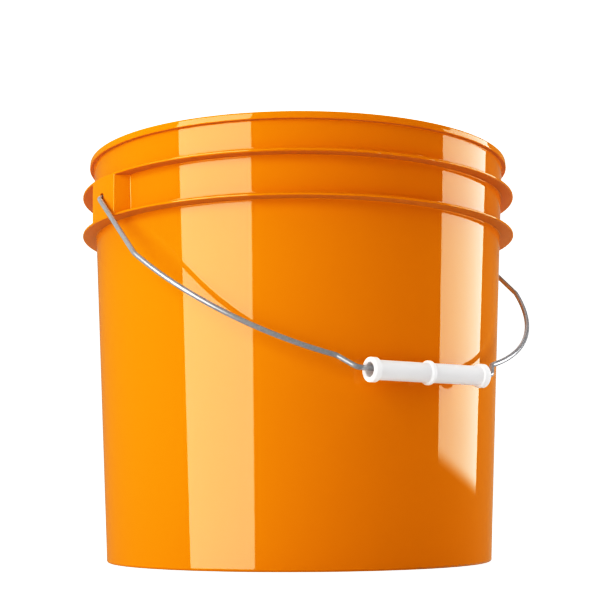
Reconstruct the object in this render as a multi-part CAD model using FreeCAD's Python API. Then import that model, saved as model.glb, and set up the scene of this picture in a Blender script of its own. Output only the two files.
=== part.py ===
"""An open-head plastic pail of 3.5 US gallons, with a steel wire bail and a plastic hand grip.

The pail stands on z = 0 with its axis on Z. Its two ears are on +X and -X, and the bail hangs
down in front of it, towards -Y. Every length is in millimetres.
"""
import FreeCAD, Part
import math
import os

V = FreeCAD.Vector

# Pail: one injection moulding.
HEIGHT = 275.8
BASE_R = 131.45             # outside of the wall, at the floor line
TAPER = 0.05165             # growth of the wall's radius for each millimetre of height
WALL = 1.9
BASE_EDGE = 1.6
FLOOR_TOP = 5.4
FLOOR_THICK = 2.2
FOOT_WIDTH = 5.0            # ring that the pail stands on
GATE_R = 4.0                # nub where the moulding was filled, inside the recess
GATE_DROP = 0.8
INSIDE_CORNER = 6.0

# Rim lip, which a lid snaps over, and the two ribs of the collar below it.
RIM_R = 148.4
RIM_TALL = 4.6
RIM_BEND = (1.6, 12.0)      # the face bends inward this far above its underside, with this radius
RIM_LEAN = 0.22             # how far the face comes in from there to its top
RIM_SHOULDER = 1.0
RIB_THICK = 1.7
RIB_EDGE = 0.6
RIB_FILLET = 3.0            # from the rib's top into the wall
CREASE = 0.7                # under a rib and under the lip
LOWER_RIB = (152.2, 222.5)  # outer radius and height of the underside
UPPER_RIB = (152.7, 249.6)

# Ears: blocks between the ribs, hollow from above, with a hole for the bail's end.
EAR_FACE_ANGLE = 6.35       # half of the face, in degrees round the pail
EAR_FOOT_ANGLE = 8.9        # where the bevelled sides meet the wall
EAR_FOOT_REACH = 1.6        # how far the ear's root goes on inside the wall, in degrees
EAR_FACE_SHARE = 0.97       # bend of the face, as a share of its radius, to leave room for its edges
EAR_EDGE = 0.9
EAR_FOOT_FILLET = 0.9
EAR_FACE_THICK = 2.6
POCKET_HALF_WIDTH = 13.5
POCKET_FLOOR = 226.5
POCKET_OFF_WALL = 0.3
HOLE_R = 2.9

# Bail: one bent wire. U runs along X and V runs away from the pivot line.
WIRE_R = 1.7
PIVOT_Z = 237.7
REST_ANGLE = 39.26          # how far the bail hangs below the level, in degrees
ARM_U = 154.9
HOOK_U = 146.5
HOOK_V = -5.4
WIRE_V = 187.4              # straight stretch through the grip
BAIL_CORNERS = [            # u, v and bend radius, from one end to the grip
    (HOOK_U, HOOK_V, 0.0),
    (HOOK_U, 0.0, 2.4),
    (ARM_U, 0.0, 4.5),
    (ARM_U, 73.3, 5.7),
    (131.1, 146.4, 162.0),
    (60.1, 175.6, 4.0),
    (51.6, WIRE_V, 5.0),
]

# Hand grip: one turned sleeve, loose on the wire.
GRIP_V = 189.1
GRIP_HALF = 44.0
GRIP_R = 6.1
FLANGE_R = 7.6
FLANGE_THICK = 4.7
RING_THICK = 2.8
GRIP_BORE_R = 4.45
GRIP_EDGE = 0.8
BORE_EDGE = 0.5

OVERLAP = 0.5               # how far a piece reaches into what it is joined to
FAR = 200.0                 # beyond the pail, for cutting shapes


def outside(z):
    """Outer radius of the pail's wall at a height."""
    return BASE_R + TAPER * z


def inside(z):
    return outside(z) - WALL


def polar(radius, angle):
    """A plan point from a radius and an angle in degrees from +X."""
    return radius * math.cos(math.radians(angle)), radius * math.sin(math.radians(angle))


def rounded(corners, closed):
    """A wire in the XZ plane through corners of (x, z, radius), each rounded by an arc."""
    count = len(corners)
    stops = []
    for i, (x, z, radius) in enumerate(corners):
        here = V(x, 0, z)
        if radius == 0 or (not closed and i in (0, count - 1)):
            stops.append((here, None, here))
            continue
        back = V(corners[i - 1][0], 0, corners[i - 1][1]) - here
        after = corners[(i + 1) % count]
        ahead = V(after[0], 0, after[1]) - here
        back.normalize()
        ahead.normalize()
        half = back.getAngle(ahead) / 2
        middle = back + ahead
        middle.normalize()
        reach = radius / math.tan(half)
        crown = here + middle * (radius / math.sin(half) - radius)
        stops.append((here + back * reach, crown, here + ahead * reach))
    edges = []
    for i, (start, crown, end) in enumerate(stops):
        if crown is not None:
            edges.append(Part.Arc(start, crown, end).toShape())
        if i + 1 < count or closed:
            following = stops[(i + 1) % count][0]
            if end.distanceToPoint(following) > 1e-4:
                edges.append(Part.LineSegment(end, following).toShape())
    return Part.Wire(edges)


def turned(corners, axis=V(0, 0, 1)):
    """The solid that a closed outline in the XZ plane makes when it turns about an axis."""
    return Part.Face(rounded(corners, True)).revolve(V(0, 0, 0), axis, 360)


def rib(radius, under):
    """Corners of one rib of the collar, from its underside to its top."""
    top = under + RIB_THICK
    return [
        (outside(under), under, CREASE),
        (radius, under, RIB_EDGE),
        (radius, top, RIB_EDGE),
        (outside(top), top, RIB_FILLET),
    ]


def pail_shell():
    under = FLOOR_TOP - FLOOR_THICK
    lip = HEIGHT - RIM_TALL
    bend_up, bend_radius = RIM_BEND
    foot = BASE_R - FOOT_WIDTH
    corners = [
        (0, under - GATE_DROP, 0),
        (GATE_R, under - GATE_DROP, 0.3),
        (GATE_R, under, 0.3),
        (foot - 1, under, 1.2),
        (foot, 0, 0.7),
        (BASE_R, 0, BASE_EDGE),
        *rib(*LOWER_RIB),
        *rib(*UPPER_RIB),
        (outside(lip), lip, CREASE),
        (RIM_R, lip, RIB_EDGE),
        (RIM_R, lip + bend_up, bend_radius),
        (RIM_R - RIM_LEAN, HEIGHT, RIM_SHOULDER),
        (inside(HEIGHT), HEIGHT, 1.0),
        (inside(FLOOR_TOP), FLOOR_TOP, INSIDE_CORNER),
        (0, FLOOR_TOP, 0),
    ]
    return turned(corners)


def ear_outline(z):
    """Plan of the ear on +X at a height, as a wire: its face, bevelled sides and filleted feet."""
    share = (z - LOWER_RIB[1]) / (UPPER_RIB[1] - LOWER_RIB[1])
    face_r = LOWER_RIB[0] + share * (UPPER_RIB[0] - LOWER_RIB[0])
    root_angle = EAR_FOOT_ANGLE + EAR_FOOT_REACH
    side = [
        (polar(inside(z) + OVERLAP, root_angle), 0),
        (polar(outside(z), root_angle), 0),
        (polar(outside(z), EAR_FOOT_ANGLE), EAR_FOOT_FILLET),
        (polar(face_r, EAR_FACE_ANGLE), EAR_EDGE),
    ]
    crown = (face_r / math.cos(math.radians(EAR_FACE_ANGLE)), 0, face_r * EAR_FACE_SHARE)
    corners = [(x, -y, radius) for (x, y), radius in side] + [crown]
    corners += [(x, y, radius) for (x, y), radius in reversed(side)]
    flat = rounded(corners, True)
    return flat.rotated(V(0, 0, 0), V(1, 0, 0), -90).translated(V(0, 0, z))


def ear_block():
    """One ear on +X, before its pocket and hole are cut. Its ends are inside the ribs."""
    low = LOWER_RIB[1] + RIB_THICK / 2
    high = UPPER_RIB[1] + RIB_THICK / 2
    return Part.makeLoft([ear_outline(low), ear_outline(high)], True, True)


def ear_pocket():
    """What is cut out of one ear on +X: the pocket, open at the top, and the bail's hole."""
    top = UPPER_RIB[1] + 2 * RIB_THICK
    face_r = (LOWER_RIB[0] + UPPER_RIB[0]) / 2 - EAR_FACE_THICK
    low_r = outside(POCKET_FLOOR) + POCKET_OFF_WALL
    high_r = outside(top) + POCKET_OFF_WALL
    profile = [V(low_r, 0, POCKET_FLOOR), V(face_r, 0, POCKET_FLOOR), V(face_r, 0, top), V(high_r, 0, top)]
    ring = Part.Face(Part.makePolygon(profile + profile[:1])).revolve(V(0, 0, 0), V(0, 0, 1), 360)
    box = Part.makeBox(FAR, 2 * POCKET_HALF_WIDTH, FAR, V(0, -POCKET_HALF_WIDTH, POCKET_FLOOR - 1))
    hole = Part.makeCylinder(HOLE_R, FAR, V(face_r - OVERLAP, 0, PIVOT_Z), V(1, 0, 0))
    return ring.common(box).fuse(hole)


def on_both_sides(shape):
    return [shape, shape.rotated(V(0, 0, 0), V(0, 0, 1), 180)]


def pail_body():
    body = pail_shell()
    for ear in on_both_sides(ear_block()):
        body = body.fuse(ear)
    for pocket in on_both_sides(ear_pocket()):
        body = body.cut(pocket)
    return body.removeSplitter()


def hung(shape):
    """Moves a shape made hanging straight down from the origin to where the bail rests."""
    swung = shape.rotated(V(0, 0, 0), V(1, 0, 0), REST_ANGLE - 90)
    return swung.translated(V(0, 0, PIVOT_Z))


def bail_wire():
    half = [(u, -v, radius) for u, v, radius in BAIL_CORNERS]
    other = [(-u, -v, radius) for u, v, radius in reversed(BAIL_CORNERS)]
    path = rounded(half + other, False)
    start = V(HOOK_U, 0, -HOOK_V)
    section = Part.Wire(Part.makeCircle(WIRE_R, start, V(0, 0, 1)))
    wire = path.makePipeShell([section], True, False)
    expected = math.pi * WIRE_R ** 2 * path.Length
    print("bail wire length", round(path.Length, 1), "volume ratio", round(wire.Volume / expected, 4))
    return hung(wire)


def grip_sleeve():
    flange = GRIP_HALF - FLANGE_THICK
    ring = RING_THICK / 2
    corners = [
        (-GRIP_HALF, GRIP_BORE_R, BORE_EDGE),
        (-GRIP_HALF, FLANGE_R, GRIP_EDGE),
        (-flange, FLANGE_R, GRIP_EDGE),
        (-flange, GRIP_R, 0.4),
        (-ring, GRIP_R, 0.4),
        (-ring, FLANGE_R, GRIP_EDGE),
        (ring, FLANGE_R, GRIP_EDGE),
        (ring, GRIP_R, 0.4),
        (flange, GRIP_R, 0.4),
        (flange, FLANGE_R, GRIP_EDGE),
        (GRIP_HALF, FLANGE_R, GRIP_EDGE),
        (GRIP_HALF, GRIP_BORE_R, BORE_EDGE),
    ]
    sleeve = turned(corners, V(1, 0, 0))
    return hung(sleeve.translated(V(0, 0, -GRIP_V)))


def main():
    os.makedirs("parts", exist_ok=True)
    for make in (pail_body, bail_wire, grip_sleeve):
        shape = make()
        solids = shape.Solids
        if len(solids) != 1 or not solids[0].isValid():
            raise SystemExit(make.__name__ + " is not one valid solid")
        solid = solids[0]
        if solid.Volume < 0:
            solid.reverse()
        box = solid.BoundBox
        print(make.__name__, "volume", round(solid.Volume / 1000, 1), "cm3, faces", len(solid.Faces),
              "box", [round(n, 2) for n in (box.XMin, box.XMax, box.YMin, box.YMax, box.ZMin, box.ZMax)])
        solid.exportStep(os.path.join("parts", make.__name__ + ".step"))


main()
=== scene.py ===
"""Looks of an open-head plastic pail with a steel wire bail and a plastic hand grip."""

import math

import bpy
from mathutils import Matrix, Vector

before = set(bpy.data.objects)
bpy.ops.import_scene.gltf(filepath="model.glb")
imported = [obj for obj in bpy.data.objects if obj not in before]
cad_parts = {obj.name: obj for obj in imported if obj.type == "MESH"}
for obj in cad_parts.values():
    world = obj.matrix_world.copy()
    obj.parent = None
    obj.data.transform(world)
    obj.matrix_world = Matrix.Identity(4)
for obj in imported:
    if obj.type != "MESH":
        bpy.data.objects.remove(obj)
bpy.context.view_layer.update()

# Camera, in metres and degrees. It stands low in front of the pail and looks a little up.
LENS = 75.76
SENSOR_WIDTH = 36
CAMERA_AZIMUTH = -32.5
CAMERA_DISTANCE = 0.8893
CAMERA_HEIGHT = 0.0477
CAMERA_PITCH = 8.57
CAMERA_YAW = -0.072
CAMERA_ROLL = -0.215

# Studio. Radiances are in scene units, where SHOWN_WHITE is the least that is drawn pure white.
SHOWN_WHITE = 1.5
BACKDROP = 1.75
LIGHT_DISTANCE = 1.6
LIGHT_HEIGHT = 0.25
SOFT_EDGE = 0.05            # share of a light's height over which its lower edge fades out
TONE_TOE = 1.53             # higher keeps more of the dark end down
TONE_SHOULDER = 1.27        # higher rolls off sooner before white
TONE_BALANCE = 0.69         # lower makes everything between lighter
TONE_STEPS = 16

# What surrounds the pail: bearing from the camera's side in degrees, and radiance there.
SOFT_LIGHT = [              # lights matt surfaces
    (-180, 0.6), (-158, 0.9), (-140, 3.3), (-125, 3.4), (-97, 2.3), (-84, 1.6), (-60, 0.0), (-34, 0.0),
    (-8, 0.9), (20, 0.2), (50, 0.0), (88, 0.0), (100, 0.3), (122, 2.7), (140, 3.8), (158, 1.0), (180, 0.6),
]
DIM_ROOM = [                # is mirrored in glossy ones
    (-180, 1.3), (-170, 0.7), (-160, 0.35), (-142, 0.27), (-120, 0.15), (-90, 0.05), (-65, 0.0), (65, 0.0),
    (90, 0.05), (128, 0.21), (145, 0.28), (160, 0.5), (170, 0.8), (180, 1.3),
]
OVERHEAD = 2.5              # radiance added to the soft light from straight above
OVERHEAD_FROM = (0.75, 0.9)     # it grows over this range of the direction's height

FLOOR_HALF = 6              # half of the floor's side
FLOOR_DROP = 0.0002         # gap that keeps the floor off the pail's base
FLOOR_GREY = (0.35, 0.35, 0.35, 1)
FLOOR_GLOW = 0.5            # the floor's own light on the pail
FLOOR_SHOWN = 1.2           # and as the camera shows it

# Linear colours.
ORANGE = (0.75, 0.26, 0.004)
ORANGE_FLOW = (0.74, 0.254, 0.004)
# Undersides are drawn a greyer orange: a painted reflection of the pale floor, not the plastic's own
# colour.
ORANGE_UNDER_PAINTED_REFLECTION = (0.60, 0.25, 0.045)
ZINC_DARK = (0.44, 0.445, 0.46)
ZINC_LIGHT = (0.50, 0.505, 0.52)
WHITE = (0.96, 0.96, 0.965)
WHITE_WORN = (0.94, 0.94, 0.945)

# Roughness, from the cleanest places to the most worn.
PAIL_GLOSS = (0.02, 0.06)
ZINC_GLOSS = (0.16, 0.22)
GRIP_GLOSS = (0.28, 0.4)
UNDER_DULLER = 0.5          # roughness that the pail's undersides have on top of that


class Shading:
    """A material's, world's or light's node tree, with short calls for the nodes used here."""

    def __init__(self, owner):
        owner.use_nodes = True
        self.nodes, self.links = owner.node_tree.nodes, owner.node_tree.links
        self.nodes.clear()

    def feed(self, socket, value):
        if isinstance(value, bpy.types.NodeSocket):
            self.links.new(value, socket)
        else:
            socket.default_value = value

    def add(self, kind, **sockets):
        node = self.nodes.new(kind)
        for name, value in sockets.items():
            self.feed(node.inputs[name.replace("_", " ")], value)
        return node

    def place(self):
        return self.add("ShaderNodeTexCoord").outputs["Object"]

    def noise(self, scale, detail, place, roughness=0.5):
        node = self.add("ShaderNodeTexNoise", Scale=scale, Detail=detail, Roughness=roughness, Vector=place)
        return node.outputs["Fac"]

    def ramp(self, value, low, high, to_low, to_high, smooth=False):
        node = self.add(
            "ShaderNodeMapRange", Value=value, From_Min=low, From_Max=high, To_Min=to_low, To_Max=to_high)
        node.interpolation_type = "SMOOTHSTEP" if smooth else "LINEAR"
        return node.outputs["Result"]

    def math(self, operation, a, b):
        node = self.nodes.new("ShaderNodeMath")
        node.operation = operation
        self.feed(node.inputs[0], a)
        self.feed(node.inputs[1], b)
        return node.outputs[0]

    def blend(self, factor, a, b):
        """Mixes two colours, each a socket or three numbers."""
        node = self.nodes.new("ShaderNodeMix")
        node.data_type = "RGBA"
        self.feed(node.inputs["Factor"], factor)
        colours = [socket for socket in node.inputs if socket.type == "RGBA"]
        for socket, colour in zip(colours, (a, b)):
            self.feed(socket, (*colour, 1) if isinstance(colour, tuple) else colour)
        return next(socket for socket in node.outputs if socket.type == "RGBA")

    def sum(self, a, b):
        node = self.nodes.new("ShaderNodeAddShader")
        self.feed(node.inputs[0], a)
        self.feed(node.inputs[1], b)
        return node.outputs[0]

    def bump(self, height, strength, distance):
        node = self.add("ShaderNodeBump", Height=height, Strength=strength, Distance=distance)
        return node.outputs["Normal"]

    def finish(self, kind, shader):
        self.feed(self.nodes.new(kind).inputs["Surface"], shader)


def new_material(name):
    material = bpy.data.materials.new(name)
    return material, Shading(material)


def pail_plastic():
    """Glossy injection-moulded polyethylene, a little duller underneath, where its colour is greyed by a
    painted reflection of the floor, with faint handling marks.
    """
    material, t = new_material("pail_plastic")
    place = t.place()
    facing = t.add("ShaderNodeSeparateXYZ", Vector=t.add("ShaderNodeNewGeometry").outputs["Normal"])
    under = t.ramp(facing.outputs["Z"], -0.8, -0.95, 0.0, 1.0, smooth=True)
    drawn_up = t.add("ShaderNodeMapping", Vector=place, Scale=(1, 1, 0.15)).outputs["Vector"]
    flow = t.noise(9.0, 3.0, drawn_up)
    grain = t.noise(900.0, 2.0, place)
    scuffs = t.noise(55.0, 6.0, place, roughness=0.7)

    base = t.blend(t.ramp(flow, 0.3, 0.7, 0.0, 1.0), ORANGE, ORANGE_FLOW)
    worn = t.ramp(scuffs, 0.45, 0.75, *PAIL_GLOSS)
    ripple = t.math("ADD", t.math("MULTIPLY", grain, 0.02), flow)
    shader = t.add(
        "ShaderNodeBsdfPrincipled", IOR=1.5,
        # Downward faces take the greyer orange, a painted reflection of the floor; their extra roughness is
        # real.
        Base_Color=t.blend(under, base, ORANGE_UNDER_PAINTED_REFLECTION),
        Roughness=t.math("ADD", worn, t.math("MULTIPLY", under, UNDER_DULLER)),
        Normal=t.bump(ripple, 0.05, 0.0006),
        Sheen_Weight=0.4, Sheen_Roughness=0.3, Sheen_Tint=(1.0, 0.36, 0.02, 1),
    )
    t.finish("ShaderNodeOutputMaterial", shader.outputs["BSDF"])
    return material


def bail_steel():
    """Drawn wire with a zinc coat: a fine mottle, and patches that differ in gloss."""
    material, t = new_material("bail_steel")
    place = t.place()
    spangle = t.noise(700.0, 3.0, place)
    patches = t.noise(90.0, 4.0, place, roughness=0.6)
    shader = t.add(
        "ShaderNodeBsdfPrincipled", Metallic=0.4,
        Base_Color=t.blend(t.ramp(spangle, 0.35, 0.65, 0.0, 1.0), ZINC_DARK, ZINC_LIGHT),
        Roughness=t.ramp(patches, 0.3, 0.7, *ZINC_GLOSS),
        Normal=t.bump(spangle, 0.05, 0.00005),
    )
    t.finish("ShaderNodeOutputMaterial", shader.outputs["BSDF"])
    return material


def grip_plastic():
    """White moulded polyethylene, a little translucent, with a fine satin grain and faint smudges."""
    material, t = new_material("grip_plastic")
    place = t.place()
    grain = t.noise(1400.0, 2.0, place)
    smudges = t.noise(60.0, 4.0, place)
    shader = t.add(
        "ShaderNodeBsdfPrincipled", IOR=1.5,
        Base_Color=t.blend(t.ramp(smudges, 0.3, 0.75, 0.0, 1.0), WHITE, WHITE_WORN),
        Roughness=t.ramp(smudges, 0.3, 0.7, *GRIP_GLOSS),
        Normal=t.bump(grain, 0.1, 0.00015),
        Subsurface_Weight=0.6, Subsurface_Scale=0.004, Subsurface_Radius=(1.0, 1.0, 1.0),
    )
    t.finish("ShaderNodeOutputMaterial", shader.outputs["BSDF"])
    return material


def dress(node, material):
    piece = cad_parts[node]
    piece.data.materials.clear()
    piece.data.materials.append(material)


def add_object(name, data):
    made = bpy.data.objects.new(name, data)
    bpy.context.scene.collection.objects.link(made)
    return made


def bearing_point(bearing, distance, height):
    """A point round the pail, at a bearing in degrees from the camera's side."""
    a = math.radians(CAMERA_AZIMUTH + bearing)
    return Vector((distance * math.sin(a), -distance * math.cos(a), height))


def facing_in(bearing, pitch, roll):
    """Turns something at a bearing towards the pail, with its own X level when roll is zero."""
    turn = Matrix.Rotation(math.radians(CAMERA_AZIMUTH + bearing), 4, "Z")
    tilt = Matrix.Rotation(math.radians(90 + pitch), 4, "X")
    return turn @ tilt @ Matrix.Rotation(math.radians(roll), 4, "Z")


def make_camera():
    data = bpy.data.cameras.new("camera")
    data.lens = LENS
    data.sensor_width = SENSOR_WIDTH
    camera = add_object("camera", data)
    place = Matrix.Translation(bearing_point(0, CAMERA_DISTANCE, CAMERA_HEIGHT))
    camera.matrix_world = place @ facing_in(CAMERA_YAW, CAMERA_PITCH, CAMERA_ROLL)
    bpy.context.scene.camera = camera


def softbox(name, bearing, turn, width, low, high, lean, roll, radiance):
    """An area light that faces the pail, turned, leant and rolled by some degrees.

    Its low and high edges are measured from LIGHT_HEIGHT, and its light fades out at the low one.
    """
    data = bpy.data.lights.new(name, "AREA")
    data.shape = "RECTANGLE"
    data.size = width
    data.size_y = high - low
    data.energy = radiance * math.pi * width * (high - low)
    lamp = add_object(name, data)
    place = Matrix.Translation(bearing_point(bearing, LIGHT_DISTANCE, LIGHT_HEIGHT))
    middle = Matrix.Translation((0, (low + high) / 2, 0))
    lamp.matrix_world = place @ facing_in(bearing + turn, -lean, roll) @ middle
    lamp.visible_camera = False
    t = Shading(data)
    across = t.add("ShaderNodeSeparateXYZ", Vector=t.add("ShaderNodeNewGeometry").outputs["Parametric"])
    shine = t.ramp(across.outputs["Y"], 0.0, SOFT_EDGE, 0.0, 1.0, smooth=True)
    t.finish("ShaderNodeOutputLight", t.add("ShaderNodeEmission", Strength=shine).outputs[0])


def make_world():
    """The backdrop is white, soft light comes mostly from it, and gloss sees a dim room."""
    world = bpy.data.worlds.new("studio")
    bpy.context.scene.world = world
    t = Shading(world)
    path = t.add("ShaderNodeLightPath")
    toward = t.add("ShaderNodeTexCoord").outputs["Generated"]
    from_camera = (0, 0, math.radians(90 - CAMERA_AZIMUTH))
    turned = t.add("ShaderNodeMapping", Vector=toward, Rotation=from_camera).outputs["Vector"]
    round_pail = t.add("ShaderNodeTexGradient", Vector=turned)
    round_pail.gradient_type = "RADIAL"

    def ring(levels):
        """Background whose radiance depends on the bearing, from a list of (bearing, radiance)."""
        top = max(level for _, level in levels)
        ramp = t.add("ShaderNodeValToRGB", Fac=round_pail.outputs["Fac"])
        stops = ramp.color_ramp.elements
        while len(stops) < len(levels):
            stops.new(0.5)
        for stop, (bearing, level) in zip(stops, levels):
            stop.position = bearing / 360 + 0.5
            stop.color = (level / top,) * 3 + (1,)
        return t.add("ShaderNodeBackground", Color=ramp.outputs["Color"], Strength=top).outputs[0]

    def choose(ray, otherwise, background):
        mix = t.add("ShaderNodeMixShader", Fac=path.outputs[ray])
        t.feed(mix.inputs[1], otherwise)
        t.feed(mix.inputs[2], background)
        return mix.outputs[0]

    seen = t.add("ShaderNodeBackground", Color=(1, 1, 1, 1), Strength=BACKDROP).outputs[0]
    up = t.add("ShaderNodeSeparateXYZ", Vector=toward).outputs["Z"]
    strength = t.ramp(up, *OVERHEAD_FROM, 0.0, OVERHEAD, smooth=True)
    overhead = t.add("ShaderNodeBackground", Strength=strength).outputs[0]
    unseen = choose("Is Glossy Ray", t.sum(ring(SOFT_LIGHT), overhead), ring(DIM_ROOM))
    t.finish("ShaderNodeOutputWorld", choose("Is Camera Ray", unseen, seen))


def make_floor():
    mesh = bpy.data.meshes.new("floor")
    corners = [(-1, -1), (1, -1), (1, 1), (-1, 1)]
    mesh.from_pydata([(x * FLOOR_HALF, y * FLOOR_HALF, 0) for x, y in corners], [], [(0, 1, 2, 3)])
    floor = add_object("floor", mesh)
    floor.location.z = -FLOOR_DROP
    floor.visible_glossy = False
    material, t = new_material("floor_paper")
    path = t.add("ShaderNodeLightPath")
    lit = t.add("ShaderNodeBsdfDiffuse", Color=FLOOR_GREY)
    strength = t.ramp(path.outputs["Is Camera Ray"], 0, 1, FLOOR_GLOW, FLOOR_SHOWN)
    glow = t.add("ShaderNodeEmission", Strength=strength)
    t.finish("ShaderNodeOutputMaterial", t.sum(lit.outputs[0], glow.outputs[0]))
    mesh.materials.append(material)


def shown_share(share):
    """S-shaped film response: the share of white that is shown for a share of SHOWN_WHITE."""
    lit = share ** TONE_TOE
    return lit / (lit + TONE_BALANCE * (1 - share) ** TONE_SHOULDER)


def set_tone():
    """The picture's own contrast: deep shadows, and highlights that roll off before white."""
    view = bpy.context.scene.view_settings
    view.view_transform = "Standard"
    view.use_curve_mapping = True
    mapping = view.curve_mapping
    mapping.white_level = (SHOWN_WHITE,) * 3
    curve = mapping.curves[3]
    curve.points[0].location = (0, 0)
    curve.points[1].location = (1, 1)
    for step in range(1, TONE_STEPS):
        share = step / TONE_STEPS
        curve.points.new(share, shown_share(share))
    mapping.update()


dress("pail_body", pail_plastic())
dress("bail_wire", bail_steel())
dress("grip_sleeve", grip_plastic())
make_camera()
make_world()
make_floor()
softbox("left_box", bearing=-43.43, turn=0, width=1.147, low=-0.60, high=0.88, lean=5.4, roll=0.73,
        radiance=7.55)
softbox("right_box", bearing=100.63, turn=1.5, width=1.115, low=-0.29, high=0.60, lean=12.0, roll=-0.64,
        radiance=6.4)
set_tone()
